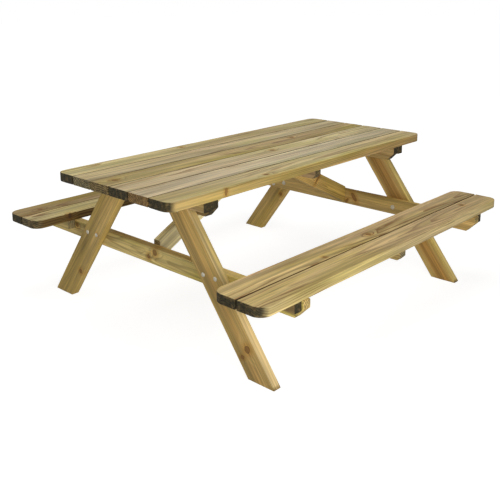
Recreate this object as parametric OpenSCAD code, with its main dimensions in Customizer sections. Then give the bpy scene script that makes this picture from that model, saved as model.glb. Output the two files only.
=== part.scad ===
// A-frame picnic table with two fixed benches, in planed pressure-treated softwood.
// Millimetres. The origin is on the ground at the middle of the table, +X runs along
// the boards, +Y across them and +Z up. Left is -X and front is -Y.

/* [Table top] */
// Length of the table top boards
table_length = 1800; // [1600:10:2200]
// Height of the table's upper face above the ground
table_height = 706; // [680:1:760]
// Width of every board
board_w = 120; // [110:1:130]
// Thickness of every board
board_t = 40; // [36:1:45]
// Gap between neighbouring boards
board_gap = 7; // [4:1:12]
// Radius of the table top's four corners
top_corner_r = 42; // [20:1:60]

/* [Benches] */
// Length of the bench boards
bench_length = 1800; // [1600:10:2200]
// Height of the seat above the ground
bench_height = 425; // [400:1:470]
// Distance from the table's centre line to the inner edge of a bench
bench_inner_y = 592; // [560:1:640]
// Radius of each bench's four corners
bench_corner_r = 50; // [20:1:60]

/* [Frames] */
// Distance from the table's middle to the outer face of the legs
frame_x = 722; // [600:1:740]
// Thickness of the legs and of the crossing timbers bolted to them
frame_t = 40; // [36:1:45]
// Width of a leg
leg_w = 110; // [95:1:120]
// Lean of the legs from the vertical, in degrees
leg_lean = 36.8; // [35:0.1:38]
// Distance from the centre line to the middle of a foot
foot_y = 672; // [650:1:690]
// Height of the seat rails
rail_h = 78; // [70:1:90]
// Length of the seat rails
seat_rail_length = 1690; // [1680:5:1800]
// Bevel at the lower corners of the seat rails
seat_rail_bevel = 44; // [20:1:50]
// Height of the top bearers
bearer_h = 70; // [64:1:80]
// Bevel at the lower corners of the top bearers
bearer_bevel = 38; // [20:1:60]

/* [Cleats and braces] */
// Side of the square cleats that hold the boards together
cleat_w = 40; // [36:1:44]
// Bevel at the lower end corners of the middle cleats
cleat_bevel = 18; // [8:1:24]
// Width of a brace
brace_w = 80; // [70:1:90]
// Angle of the braces above the horizontal, in degrees
brace_angle = 27; // [26:0.5:28]
// How far a brace stands above the seat rail it starts at
brace_rise = 19; // [5:1:25]
// Middle of the left brace, measured across the table
left_brace_y = 20; // [18:1:24]
// Middle of the right brace, measured across the table
right_brace_y = -52; // [-54:1:-48]

/* [Fasteners] */
// Thread size of the carriage bolts
bolt_d = 8; // [8:1:12]
// Distance between the two bolts where a leg crosses a seat rail
bolt_pitch = 69; // [60:1:74]
// Shank of the screws that hold the boards
board_screw_d = 5; // [4:0.5:6]
// Shank of the screws that join the cleats, rails and braces
frame_screw_d = 6; // [5:0.5:7]

/* [Hidden] */
$fn = 48;

edge = 3;                                  // flat eased along every long edge
slack = 0.2;                               // room around a screw or bolt, per side
over = 1;                                  // how far a cutting shape overshoots
far = 4000;                                // longer than anything here
board_count = 6;
pitch_y = board_w + board_gap;
top_w = board_count * pitch_y - board_gap;
bench_w = 2 * board_w + board_gap;
top_under = table_height - board_t;        // underside of the table top
bench_under = bench_height - board_t;      // underside of a bench
bench_outer_y = bench_inner_y + bench_w;
leg_top = top_under - cleat_w;             // the end cleats lie on the legs
inner_x = frame_x - frame_t;               // where the legs meet the rails
rail_face_x = inner_x - frame_t;           // inboard face of the rails
cleat_inset = 2;                           // cleats stop short of the boards' edges
top_cleat_length = top_w - 2 * cleat_inset;
end_cleat_x = inner_x + frame_t / 2;

// Bolts: a cup head, a square neck, a washer and a hexagon nut
grip = 2 * frame_t;
head_r = 1.2 * bolt_d;
head_h = 0.55 * bolt_d;
neck_h = 0.6 * bolt_d;
washer_r = 1.5 * bolt_d;
washer_t = 0.25 * bolt_d;
washer_slack = 0.5;                        // room inside a washer, per side
nut_af = 1.7 * bolt_d;
nut_h = 0.84 * bolt_d;
thread_proud = 0.5 * bolt_d;               // thread showing past the nut
bolt_length = grip + washer_t + nut_h + thread_proud;
// From the bench's underside down to the inner and outer bolts: left frame, then right frame
seat_bolt_drops = [[16, 16], [40, 58]];
top_bolt_drop = 16;                        // from the legs' top down to their top bolts
top_bolt_z = leg_top - top_bolt_drop;

// Screws
reach = 0.75;                              // share of the second timber a screw goes into
board_screw_l = cleat_w + reach * board_t;
frame_screw_l = frame_t + reach * cleat_w;
brace_screw_l = 2 * frame_t;
screw_y = 0.27 * board_w;                  // each side of a board's middle
screw_x = 0.2 * cleat_w;                   // staggered each side of a cleat's middle
top_cleat_x = [-end_cleat_x, 0, end_cleat_x];

function top_board_y(i) = (i - (board_count + 1) / 2) * pitch_y;
function bench_board_y(k) = bench_inner_y + board_w / 2 + k * pitch_y;
function leg_y(z) = foot_y - z * tan(leg_lean);

// One [y, z] place for each bolt of a frame's +Y leg; side is -1 or 1 along X
function leg_bolts(side) =
    let (drops = seat_bolt_drops[side > 0 ? 1 : 0],
         inner_z = bench_under - drops[0],
         outer_z = bench_under - drops[1])
    [[leg_y(inner_z) - bolt_pitch / 2, inner_z],
     [leg_y(outer_z) + bolt_pitch / 2, outer_z],
     [leg_y(top_bolt_z), top_bolt_z]];
bearer_screw_y = [for (i = [1, 3, 4, 6]) top_board_y(i)];
brace_foot_drops = [38, 14];               // from the bench's underside down to the screws

// ---- timber ----

// Cross-section of planed timber: a rectangle with its four edges eased
module section(a, b) {
    polygon([
        [-a / 2 + edge, -b / 2], [a / 2 - edge, -b / 2],
        [a / 2, -b / 2 + edge], [a / 2, b / 2 - edge],
        [a / 2 - edge, b / 2], [-a / 2 + edge, b / 2],
        [-a / 2, b / 2 - edge], [-a / 2, -b / 2 + edge]]);
}

// A length of timber along X: w wide across Y and h high, centred on the origin
module timber_x(length, w, h) {
    rotate([90, 0, 90])
        linear_extrude(length, center = true)
            section(w, h);
}

// A length of timber along Y: w wide across X and h high, centred on the origin
module timber_y(length, w, h) {
    rotate([90, 0, 0])
        linear_extrude(length, center = true)
            section(w, h);
}

// What is cut away to round one plan corner; the corner itself is at the origin
module corner_cut(r) {
    translate([-r, -r, -board_t])
        linear_extrude(2 * board_t)
            difference() {
                square(r + over);
                circle(r);
            }
}

// A board along X with its top at z = 0; the +Y corners are rounded when r > 0
module board(length, r) {
    difference() {
        translate([0, 0, -board_t / 2])
            timber_x(length, board_w, board_t);
        if (r > 0)
            for (side = [0, 1])
                mirror([side, 0, 0])
                    translate([length / 2, board_w / 2, 0])
                        corner_cut(r);
    }
}

// A timber along Y whose top is at z = 0, with both lower end corners bevelled
module bevelled_timber(length, w, h, bevel) {
    difference() {
        translate([0, 0, -h / 2])
            timber_y(length, w, h);
        for (side = [0, 1])
            mirror([0, side, 0])
                translate([0, length / 2 - bevel, -h])
                    rotate([45, 0, 0])
                        translate([-w, 0, -far / 2])
                            cube([2 * w, far / 2, far / 2]);
    }
}

// ---- fasteners, drawn along +Z with the seat of the head at z = 0 ----

module screw(d, length) {
    tip = 1.5 * d;
    cone_h = 0.5 * d;
    cylinder(h = cone_h, r1 = d, r2 = d / 2);
    cylinder(h = length - tip, d = d);
    translate([0, 0, length - tip])
        cylinder(h = tip, d1 = d, d2 = 0.2 * d);
}

module screw_hole(d, length) {
    cone_h = 0.5 * d + slack;
    translate([0, 0, -slack])
        cylinder(h = cone_h + slack, r1 = d + 2 * slack, r2 = d / 2 + slack);
    translate([0, 0, -slack])
        cylinder(h = length + 2 * slack + over, d = d + 2 * slack);
}

module carriage_bolt() {
    dome_r = (head_r * head_r + head_h * head_h) / (2 * head_h);
    end_h = 0.12 * bolt_d;
    overlap = 0.01;
    intersection() {
        translate([0, 0, dome_r - head_h])
            sphere(dome_r);
        translate([0, 0, -head_h])
            cylinder(h = head_h, r = head_r);
    }
    translate([-bolt_d / 2, -bolt_d / 2, -overlap])
        cube([bolt_d, bolt_d, neck_h]);
    cylinder(h = bolt_length - end_h, d = bolt_d);
    translate([0, 0, bolt_length - end_h])
        cylinder(h = end_h, d1 = bolt_d, d2 = 0.8 * bolt_d);
}

module bolt_hole() {
    side = bolt_d + 2 * slack;
    translate([0, 0, -over])
        cylinder(h = grip + 2 * over, d = side);
    translate([-side / 2, -side / 2, -over])
        cube([side, side, neck_h + over + slack]);
}

module washer() {
    difference() {
        cylinder(h = washer_t, r = washer_r);
        translate([0, 0, -over])
            cylinder(h = washer_t + 2 * over, d = bolt_d + 2 * washer_slack);
    }
}

module nut() {
    difference() {
        cylinder(h = nut_h, d = nut_af / cos(30), $fn = 6);
        translate([0, 0, -over])
            cylinder(h = nut_h + 2 * over, d = bolt_d + 2 * slack);
    }
}

// ---- places; side is -1 or 1 along X and end is -1 or 1 along Y ----

// Bolts of one leg, each starting on the leg's outer face
module at_leg_bolts(side, end) {
    for (p = leg_bolts(side))
        translate([side * frame_x, end * p[0], p[1]])
            rotate([0, -side * 90, 0])
                children();
}

// Bolts of all four legs
module at_all_bolts() {
    for (side = [-1, 1], end = [-1, 1])
        at_leg_bolts(side, end)
            children();
}

// The screws that hold one board to its three cleats, starting under the cleats
module at_board_screws(y, under) {
    for (x = top_cleat_x, s = [-1, 1])
        translate([x + s * screw_x, y + s * screw_y, under - cleat_w])
            children();
}

module at_tabletop_screws() {
    for (i = [1 : board_count])
        at_board_screws(top_board_y(i), top_under)
            children();
}

module at_bench_screws(end) {
    for (k = [0, 1])
        at_board_screws(end * bench_board_y(k), bench_under)
            children();
}

// Screws through a top bearer into the end cleat beside it
module at_bearer_screws(side) {
    for (y = bearer_screw_y)
        translate([side * rail_face_x, y, top_under - cleat_w / 2])
            rotate([0, side * 90, 0])
                children();
}

// Screws through a seat rail into the bench cleats beside it
module at_rail_screws(side) {
    for (end = [-1, 1], k = [0, 1])
        translate([side * rail_face_x, end * bench_board_y(k), bench_under - cleat_w / 2])
            rotate([0, side * 90, 0])
                children();
}

// Screws through a seat rail into the low end of its brace
module at_brace_foot_screws(side, y) {
    for (drop = brace_foot_drops)
        translate([side * inner_x, y, bench_under - drop])
            rotate([0, -side * 90, 0])
                children();
}

// Screw through the middle cleat into the high end of a brace
module at_brace_top_screw(side, y) {
    translate([-side * cleat_w / 2, y, top_under - cleat_w / 2])
        rotate([0, side * 90, 0])
            children();
}

// ---- sub-parts ----

module tabletop_board(i) {
    y = top_board_y(i);
    outer = (i == 1 || i == board_count);
    color([0.80, 0.70, 0.50])
        difference() {
            translate([0, y, table_height])
                mirror([0, y < 0 ? 1 : 0, 0])
                    board(table_length, outer ? top_corner_r : 0);
            at_board_screws(y, top_under)
                screw_hole(board_screw_d, board_screw_l);
        }
}

// k = 0 is the board nearer the table and k = 1 the outer one
module bench_board(end, k) {
    y = end * bench_board_y(k);
    corner_end = (k == 1) ? end : -end;
    color([0.78, 0.67, 0.46])
        difference() {
            translate([0, y, bench_height])
                mirror([0, corner_end < 0 ? 1 : 0, 0])
                    board(bench_length, bench_corner_r);
            at_board_screws(y, bench_under)
                screw_hole(board_screw_d, board_screw_l);
        }
}

module leg(side, end) {
    color([0.72, 0.58, 0.34])
        difference() {
            intersection() {
                translate([side * end_cleat_x, end * foot_y, 0])
                    rotate([end * leg_lean, 0, 0])
                        linear_extrude(far, center = true)
                            section(frame_t, leg_w);
                translate([-far / 2, -far / 2, 0])
                    cube([far, far, leg_top]);
            }
            at_leg_bolts(side, end)
                bolt_hole();
        }
}

module top_bearer(side) {
    color([0.74, 0.62, 0.38])
        difference() {
            translate([side * (inner_x - frame_t / 2), 0, top_under])
                bevelled_timber(top_cleat_length, frame_t, bearer_h, bearer_bevel);
            at_leg_bolts(side, -1)
                bolt_hole();
            at_leg_bolts(side, 1)
                bolt_hole();
            at_bearer_screws(side)
                screw_hole(frame_screw_d, frame_screw_l);
        }
}

module seat_rail(side, brace_y) {
    color([0.74, 0.62, 0.38])
        difference() {
            translate([side * (inner_x - frame_t / 2), 0, bench_under])
                bevelled_timber(seat_rail_length, frame_t, rail_h, seat_rail_bevel);
            at_leg_bolts(side, -1)
                bolt_hole();
            at_leg_bolts(side, 1)
                bolt_hole();
            at_rail_screws(side)
                screw_hole(frame_screw_d, frame_screw_l);
            at_brace_foot_screws(side, brace_y)
                screw_hole(frame_screw_d, brace_screw_l);
        }
}

module top_end_cleat(side) {
    color([0.62, 0.52, 0.32])
        difference() {
            translate([side * end_cleat_x, 0, top_under - cleat_w / 2])
                timber_y(top_cleat_length, frame_t, cleat_w);
            at_tabletop_screws()
                screw_hole(board_screw_d, board_screw_l);
            at_bearer_screws(side)
                screw_hole(frame_screw_d, frame_screw_l);
        }
}

module top_middle_cleat() {
    color([0.62, 0.52, 0.32])
        difference() {
            translate([0, 0, top_under])
                bevelled_timber(top_cleat_length, cleat_w, cleat_w, cleat_bevel);
            at_tabletop_screws()
                screw_hole(board_screw_d, board_screw_l);
            at_brace_top_screw(-1, left_brace_y)
                screw_hole(frame_screw_d, brace_screw_l);
            at_brace_top_screw(1, right_brace_y)
                screw_hole(frame_screw_d, brace_screw_l);
        }
}

module bench_end_cleat(side, end) {
    length = bench_w - 2 * cleat_inset;
    color([0.62, 0.52, 0.32])
        difference() {
            translate([side * end_cleat_x, end * (bench_inner_y + bench_w / 2),
                bench_under - cleat_w / 2])
                timber_y(length, frame_t, cleat_w);
            at_bench_screws(end)
                screw_hole(board_screw_d, board_screw_l);
            at_rail_screws(side)
                screw_hole(frame_screw_d, frame_screw_l);
        }
}

module bench_middle_cleat(end) {
    length = bench_w - 2 * cleat_inset;
    color([0.62, 0.52, 0.32])
        difference() {
            translate([0, end * (bench_inner_y + bench_w / 2), bench_under])
                bevelled_timber(length, cleat_w, cleat_w, cleat_bevel);
            at_bench_screws(end)
                screw_hole(board_screw_d, board_screw_l);
        }
}

// A brace rises from the inboard face of a seat rail to the middle cleat
module brace(side, y) {
    run = rail_face_x - cleat_w / 2;
    color([0.84, 0.76, 0.52])
        difference() {
            intersection() {
                translate([side * rail_face_x, y, bench_under + brace_rise])
                    rotate([0, side * brace_angle, 0])
                        translate([0, 0, -brace_w / 2])
                            timber_x(far, frame_t, brace_w);
                translate([side > 0 ? cleat_w / 2 : -rail_face_x, -far / 2, 0])
                    cube([run, far, top_under]);
            }
            at_brace_foot_screws(side, y)
                screw_hole(frame_screw_d, brace_screw_l);
            at_brace_top_screw(side, y)
                screw_hole(frame_screw_d, brace_screw_l);
        }
}

module frame_bolts() {
    color("silver")
        at_all_bolts()
            carriage_bolt();
}

module frame_washers() {
    color("silver")
        at_all_bolts()
            translate([0, 0, grip])
                washer();
}

module frame_nuts() {
    color("gainsboro")
        at_all_bolts()
            translate([0, 0, grip + washer_t])
                nut();
}

module tabletop_screws() {
    color("darkkhaki")
        at_tabletop_screws()
            screw(board_screw_d, board_screw_l);
}

module bench_screws() {
    color("darkkhaki")
        for (end = [-1, 1])
            at_bench_screws(end)
                screw(board_screw_d, board_screw_l);
}

module frame_screws() {
    color("darkkhaki")
        for (side = [-1, 1]) {
            at_bearer_screws(side)
                screw(frame_screw_d, frame_screw_l);
            at_rail_screws(side)
                screw(frame_screw_d, frame_screw_l);
        }
}

module brace_screws() {
    color("darkkhaki") {
        at_brace_foot_screws(-1, left_brace_y)
            screw(frame_screw_d, brace_screw_l);
        at_brace_foot_screws(1, right_brace_y)
            screw(frame_screw_d, brace_screw_l);
        at_brace_top_screw(-1, left_brace_y)
            screw(frame_screw_d, brace_screw_l);
        at_brace_top_screw(1, right_brace_y)
            screw(frame_screw_d, brace_screw_l);
    }
}

tabletop_board(1);  // tabletop_board_1
tabletop_board(2);  // tabletop_board_2
tabletop_board(3);  // tabletop_board_3
tabletop_board(4);  // tabletop_board_4
tabletop_board(5);  // tabletop_board_5
tabletop_board(6);  // tabletop_board_6
bench_board(-1, 1);  // front_bench_outer_board
bench_board(-1, 0);  // front_bench_inner_board
bench_board(1, 0);  // rear_bench_inner_board
bench_board(1, 1);  // rear_bench_outer_board
leg(-1, -1);  // left_front_leg
leg(-1, 1);  // left_rear_leg
leg(1, -1);  // right_front_leg
leg(1, 1);  // right_rear_leg
top_bearer(-1);  // left_top_bearer
top_bearer(1);  // right_top_bearer
seat_rail(-1, left_brace_y);  // left_seat_rail
seat_rail(1, right_brace_y);  // right_seat_rail
top_end_cleat(-1);  // left_top_cleat
top_middle_cleat();  // middle_top_cleat
top_end_cleat(1);  // right_top_cleat
bench_end_cleat(-1, -1);  // front_bench_left_cleat
bench_middle_cleat(-1);  // front_bench_middle_cleat
bench_end_cleat(1, -1);  // front_bench_right_cleat
bench_end_cleat(-1, 1);  // rear_bench_left_cleat
bench_middle_cleat(1);  // rear_bench_middle_cleat
bench_end_cleat(1, 1);  // rear_bench_right_cleat
brace(-1, left_brace_y);  // left_brace
brace(1, right_brace_y);  // right_brace
frame_bolts();
frame_washers();
frame_nuts();
tabletop_screws();
bench_screws();
frame_screws();
brace_screws();
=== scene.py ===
"""Looks of the A-frame picnic table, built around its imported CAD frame.

Every timber takes its outline from its CAD node and is meshed again with rounded edges, checks,
knots and a slightly uneven planed surface. Metres throughout, in the frame shared with the CAD:
+X runs along the boards, +Y across them and +Z up; left is -X and front is -Y.
"""

import math
from dataclasses import dataclass, field

import bpy
import numpy as np
from mathutils import Matrix, Vector


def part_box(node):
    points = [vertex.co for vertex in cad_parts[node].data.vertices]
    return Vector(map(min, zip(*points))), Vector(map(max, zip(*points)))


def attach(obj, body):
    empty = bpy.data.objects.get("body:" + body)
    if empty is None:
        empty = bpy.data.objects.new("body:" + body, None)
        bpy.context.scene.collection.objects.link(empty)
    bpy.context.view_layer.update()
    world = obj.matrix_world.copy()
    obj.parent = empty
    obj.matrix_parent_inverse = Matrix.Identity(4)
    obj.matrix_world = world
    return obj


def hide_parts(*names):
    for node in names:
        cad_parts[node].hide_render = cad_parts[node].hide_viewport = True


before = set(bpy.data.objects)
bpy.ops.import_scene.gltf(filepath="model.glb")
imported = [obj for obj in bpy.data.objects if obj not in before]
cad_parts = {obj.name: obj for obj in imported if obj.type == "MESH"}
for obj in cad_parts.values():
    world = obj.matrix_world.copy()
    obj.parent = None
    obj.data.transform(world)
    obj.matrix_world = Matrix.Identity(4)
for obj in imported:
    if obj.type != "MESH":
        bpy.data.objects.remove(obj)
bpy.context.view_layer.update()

MM = 0.001
X, Y, Z = range(3)
LOW, HIGH = range(2)

# ---- sizes of the mesh detail ----

EDGE_RADIUS = 3 * MM                # planed timber has its edges rounded by a cutter
RIM_STEPS = (0.0, 0.2, 0.55, 1.0)   # grid lines across a rounded edge, as shares of its radius
GRID_ALONG = 22 * MM                # widest spacing of the grid lines, along the timber,
GRID_ACROSS = 6 * MM                # across its face
GRID_THIN = 7 * MM                  # and through its thickness
CLOSEST_LINES = 0.3 * MM
WAVINESS = 0.22 * MM                # slow unevenness left by planing and drying
RIDGES = 0.07 * MM                  # raised hard grain
BOW = 0.7 * MM                      # sideways bow of a timber at its middle
WANDER = 2.5 * MM                   # how far the grain strays sideways
CHECK_HALF_WIDTH = 0.6 * MM
CHECK_DEPTH = 2.5 * MM
GAP_SHADE_DEPTH = 1.8 * MM                  # how far below a board's face the side of a gap gets painted shade
GAP_END_REACH = 60 * MM                # how far from a timber's end the painted shade in a gap takes the end grain's colour
KNOT_SWELL = 0.5 * MM
KNOT_GROOVE = 0.4 * MM
KNOT_LINES = (-1.5, -1.15, -0.85, -0.4, 0.0, 0.4, 0.85, 1.15, 1.5)   # grid lines, in knot radii
BRANCH_LEAN = 10 * MM               # how far along the timber a branch leans on its way out
STRAIGHT = math.radians(1.5)        # an outline's corners that bend less than this are left out
SEED_STEP = (1.7, 0.9, 0.4)         # from one seed's place in the noise to the next one's
GRAIN_RELIEF = 0.35 * MM
ZINC_RELIEF = 0.08 * MM

BOTH_SIDES = (-1, 1)

# ---- colours, as sRGB shares ----

# Painted light: a very pale tone that makes a timber read as brightly lit
PAINTED_LIGHT_TONE = (1.0, 0.94, 0.72)
CREAM = (0.98, 0.93, 0.78)
STRAW = (0.97, 0.90, 0.71)
TAN = (0.93, 0.86, 0.63)
WHEAT = (0.91, 0.80, 0.55)
GOLD = (0.97, 0.87, 0.56)
OLIVE = (0.88, 0.79, 0.53)
HONEY = (0.86, 0.72, 0.42)
AMBER = (0.84, 0.71, 0.42)
KHAKI = (0.78, 0.67, 0.44)
# Painted shadow: a darkened tone for timbers that sit in shade under the table top or a bench
PAINTED_SHADE_TONE = (0.56, 0.47, 0.29)

BROWN_LINE = (0.62, 0.46, 0.26)
OLIVE_LINE = (0.62, 0.49, 0.26)
PINK_HEART = (0.93, 0.80, 0.64)
ORANGE_HEART = (0.92, 0.79, 0.56)
GREEN_TINT = (0.86, 0.87, 0.64)
KNOT_BROWN = (0.54, 0.37, 0.19)
KNOT_BARK = (0.26, 0.17, 0.09)
# Painted shade inside the checks, and the dark of the end grain's late-wood rings
CHECK_SHADE_AND_RING_DARK = (0.16, 0.12, 0.07)
# Painted shade on the sides of the gaps between boards
GAP_SHADE_BROWN = (0.32, 0.22, 0.10)

END_BLACK = (0.24, 0.22, 0.13)
END_MOSS = (0.44, 0.39, 0.26)
END_BROWN = (0.56, 0.48, 0.30)
END_OLIVE = (0.58, 0.53, 0.38)
END_RED = (0.60, 0.47, 0.28)
END_TAN = (0.62, 0.51, 0.32)
END_GOLD = (0.86, 0.74, 0.46)

ZINC = (0.92, 0.90, 0.83)
ZINC_DULL = (0.72, 0.70, 0.62)
YELLOW_ZINC = (0.78, 0.70, 0.48)
YELLOW_ZINC_DULL = (0.55, 0.48, 0.34)


@dataclass
class Knot:
    """A branch that comes out of the wood at a point of the shared frame."""

    point: tuple
    radius: float
    dark: float = 0.2   # 0 for a brown knot, 1 for a nearly black one


@dataclass
class Check:
    """A drying crack: the side it opens on, its place across that face and its two ends."""

    side: int       # 1 for the timber's upper, right or rear face, -1 for the opposite one
    across: float   # across and along the timber from its middle
    start: float
    stop: float


@dataclass
class Look:
    """How one timber's wood looks."""

    tone: tuple = STRAW             # early wood
    line: tuple = BROWN_LINE        # late wood, the darker part of each growth ring
    contrast: float = 0.8           # how much of the late wood's colour shows
    ring: float = 8 * MM            # width of a growth ring
    pith: tuple = (0.0, -60 * MM)   # middle of the tree, across and through the timber
    tilt: tuple = (0.004, 0.012)    # how the tree's middle drifts per metre of timber
    heart: tuple = PINK_HEART       # tint of the wood round the middle
    heart_radius: float = 0.0
    green: float = 0.5              # strength of the green treatment stains
    blush: float = 0.4              # strength of the pinker patches
    end: tuple = END_BROWN          # end grain
    gaps: tuple = ()                # sides, -1 or 1 across, that face a gap between boards
    side: tuple = (1.0, 1.0, 1.0)   # painted light and shade: factors on the red, green and blue of the narrow faces
    knots: list = field(default_factory=list)
    checks: list = field(default_factory=list)


# ---- reading the frame ----


def face(node, end, axis):
    """Place of a CAD node's lowest or highest face along an axis, to a tenth of a millimetre."""
    return round(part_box(node)[end][axis], 4)


def node_points(node):
    """All the vertices of a CAD node, as rows."""
    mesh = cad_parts[node].data
    points = np.zeros(len(mesh.vertices) * 3)
    mesh.vertices.foreach_get("co", points)
    return points.reshape(-1, 3)


def turn(a, b, c):
    """Twice the area of the triangle a, b, c; positive when it runs anticlockwise."""
    return (b[0] - a[0]) * (c[1] - a[1]) - (b[1] - a[1]) * (c[0] - a[0])


def half_hull(points):
    """The lower convex chain through points that are sorted by x."""
    chain = []
    for point in points:
        while len(chain) > 1 and turn(chain[-2], chain[-1], point) <= 0:
            chain.pop()
        chain.append(point)
    return chain[:-1]


def convex_outline(points):
    """Corners of the convex outline round 2-D points, anticlockwise, without the straight ones."""
    rounded = sorted(set(map(tuple, np.round(points, 5))))
    corners = half_hull(rounded) + half_hull(rounded[::-1])
    kept = []
    for i, corner in enumerate(corners):
        before = np.subtract(corner, corners[i - 1])
        after = np.subtract(corners[(i + 1) % len(corners)], corner)
        bend = np.cross(before, after) / (np.hypot(*before) * np.hypot(*after))
        if bend > math.sin(STRAIGHT):
            kept.append(corner)
    return np.array(kept)


class Timber:
    """A timber's shape from its CAD node: its own axes, its outline and its thickness.

    In its own axes x runs along the grain, y across the face and z through the thickness, which
    lies along the shared frame's axis number thin.
    """

    def __init__(self, node, thin):
        points = node_points(node)
        through = np.eye(3)[thin]
        first = np.eye(3)[(thin + 1) % 3]
        second = np.eye(3)[(thin + 2) % 3]
        flat = convex_outline(np.stack([points @ first, points @ second], 1))
        sides = np.roll(flat, -1, 0) - flat
        longest = sides[np.argmax(np.hypot(*sides.T))]
        longest = longest / np.hypot(*longest)
        along = longest[0] * first + longest[1] * second
        along = along * np.sign(along[np.argmax(np.abs(along))])
        self.axes = np.stack([along, np.cross(through, along), through])
        own = points @ self.axes.T
        middle = (own.min(0) + own.max(0)) / 2
        self.half = (own.max(0) - own.min(0)) / 2
        self.outline = convex_outline((own - middle)[:, :2])
        self.origin = middle @ self.axes

    def to_own(self, point):
        """A point of the shared frame, in the timber's own axes."""
        return (np.array(point) - self.origin) @ self.axes.T

    def to_shared(self, points):
        """Rows of points in the timber's own axes, in the shared frame."""
        return points @ self.axes + self.origin


# ---- meshing a timber ----


def ends_at(outline, heights):
    """Lowest and highest x of a convex outline at each of the heights."""
    low = np.full(heights.shape, np.inf)
    high = np.full(heights.shape, -np.inf)
    for (x1, y1), (x2, y2) in zip(outline, np.roll(outline, -1, 0)):
        if abs(y2 - y1) < 1e-7:
            continue
        share = (heights - y1) / (y2 - y1)
        x = x1 + share.clip(0, 1) * (x2 - x1)
        inside = (share > -1e-3) & (share < 1 + 1e-3)
        low = np.where(inside, np.minimum(low, x), low)
        high = np.where(inside, np.maximum(high, x), high)
    return low, high


def grid_lines(half, gap, marks):
    """Places from -half to half: each mark, closer ones at both rims and even ones between."""
    rims = [half - step * EDGE_RADIUS for step in RIM_STEPS]
    even = np.linspace(-half, half, math.ceil(2 * half / gap) + 1)
    lines = []
    for value in rims + [-rim for rim in rims] + list(marks) + list(even):
        room = gap / 3 if value in even else CLOSEST_LINES
        if abs(value) <= half and all(abs(value - other) > room for other in lines):
            lines.append(value)
    return np.array(sorted(lines))


def inset(outline, distance):
    """The outline moved inwards by a distance."""
    sides = np.roll(outline, -1, 0) - outline
    sides = sides / np.hypot(*sides.T)[:, None]
    inward = np.stack([-sides[:, 1], sides[:, 0]], 1)
    before = np.roll(inward, 1, 0)
    bisector = inward + before
    stretch = 2 * distance / (bisector ** 2).sum(1)
    return outline + bisector * stretch[:, None]


def nearest_inside(points, outline):
    """The point of a convex outline's inside that is nearest to each of the points."""
    best = points.copy()
    distance = np.full(len(points), np.inf)
    inside = np.ones(len(points), bool)
    for start, stop in zip(outline, np.roll(outline, -1, 0)):
        side = stop - start
        away = points - start
        inside &= side[0] * away[:, 1] - side[1] * away[:, 0] >= 0
        share = (away @ side / (side @ side)).clip(0, 1)
        foot = start + share[:, None] * side
        gap = np.hypot(*(points - foot).T)
        nearer = gap < distance
        best[nearer] = foot[nearer]
        distance = np.minimum(gap, distance)
    best[inside] = points[inside]
    return best


def block_shell(counts):
    """Grid points and quads that cover the outside of a block of grid lines."""
    shell = np.ones(counts, bool)
    shell[1:-1, 1:-1, 1:-1] = False
    index = np.full(counts, -1)
    index[shell] = np.arange(shell.sum())
    sheets = (
        (index[0], True), (index[-1], False),
        (index[:, 0], False), (index[:, -1], True),
        (index[:, :, 0], True), (index[:, :, -1], False),
    )
    quads = []
    for sheet, flip in sheets:
        ring = [sheet[:-1, :-1], sheet[1:, :-1], sheet[1:, 1:], sheet[:-1, 1:]]
        if flip:
            ring.reverse()
        quads.append(np.stack(ring, -1).reshape(-1, 4))
    return np.argwhere(shell), np.concatenate(quads)


def waves(rng, x, y, length, width, count=5):
    """The sum of some random waves, mostly between -1.5 and 1.5."""
    total = np.zeros(len(x))
    for _ in range(count):
        along, across, phase = rng.uniform(0.6, 1.6, 3)
        total += np.sin(math.tau * (along * x / length + across * y / width + phase))
    return total / math.sqrt(count)


def smooth(value, low, high):
    """0 at low and 1 at high, eased; low may be the larger of the two."""
    share = ((value - low) / (high - low)).clip(0, 1)
    return share * share * (3 - 2 * share)


def branch(timber, look, knot):
    """A knot's surface point and the direction of its branch, in the timber's own axes."""
    point = timber.to_own(knot.point)
    root = np.array([point[0] - BRANCH_LEAN, look.pith[0], look.pith[1]])
    along = (point - root) / np.linalg.norm(point - root)
    return point, along


def surface_lines(timber, look, branches):
    """Grid lines along, across and through a timber, closer together at its knots and checks."""
    marks = [[], list(timber.outline[:, 1]), []]
    for point, _, radius in branches:
        for axis in range(3):
            marks[axis] += [point[axis] + step * radius for step in KNOT_LINES]
    for check in look.checks:
        marks[0] += [check.start, check.stop]
        marks[1] += [check.across + side * CHECK_HALF_WIDTH for side in (0, -1, 1)]
    widest = (GRID_ALONG, GRID_ACROSS, GRID_THIN)
    return [grid_lines(*axis) for axis in zip(timber.half, widest, marks)]


def raise_knots(lift, place, branches):
    """Adds each knot's swell to the lift of the surface, and takes off the groove round it."""
    for point, along, radius in branches:
        away = place - point
        off = np.linalg.norm(away - (away @ along)[:, None] * along, axis=1) / radius
        lift += KNOT_SWELL * np.exp(-((off / 0.9) ** 2))
        lift -= KNOT_GROOVE * np.exp(-(((off - 1.12) / 0.22) ** 2))


def check_opening(timber, look, x, row, z):
    """0 at sound points and up to 1 at points on the middle line of a check.

    A check that starts at the timber's end is widest there, and any other one at its middle.
    """
    opening = np.zeros(len(x))
    for check in look.checks:
        middle = np.abs(row - check.across) < CHECK_HALF_WIDTH / 4
        share = ((x - check.start) / (check.stop - check.start)).clip(0, 1)
        open_end = abs(check.start) > timber.half[0] - EDGE_RADIUS
        mouth = np.sqrt(1 - share ** 2) if open_end else np.sin(math.pi * share) ** 0.6
        reach = smooth(z * check.side, -0.3 * timber.half[2], timber.half[2])
        opening = np.maximum(opening, middle * mouth * reach)
    return opening


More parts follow.
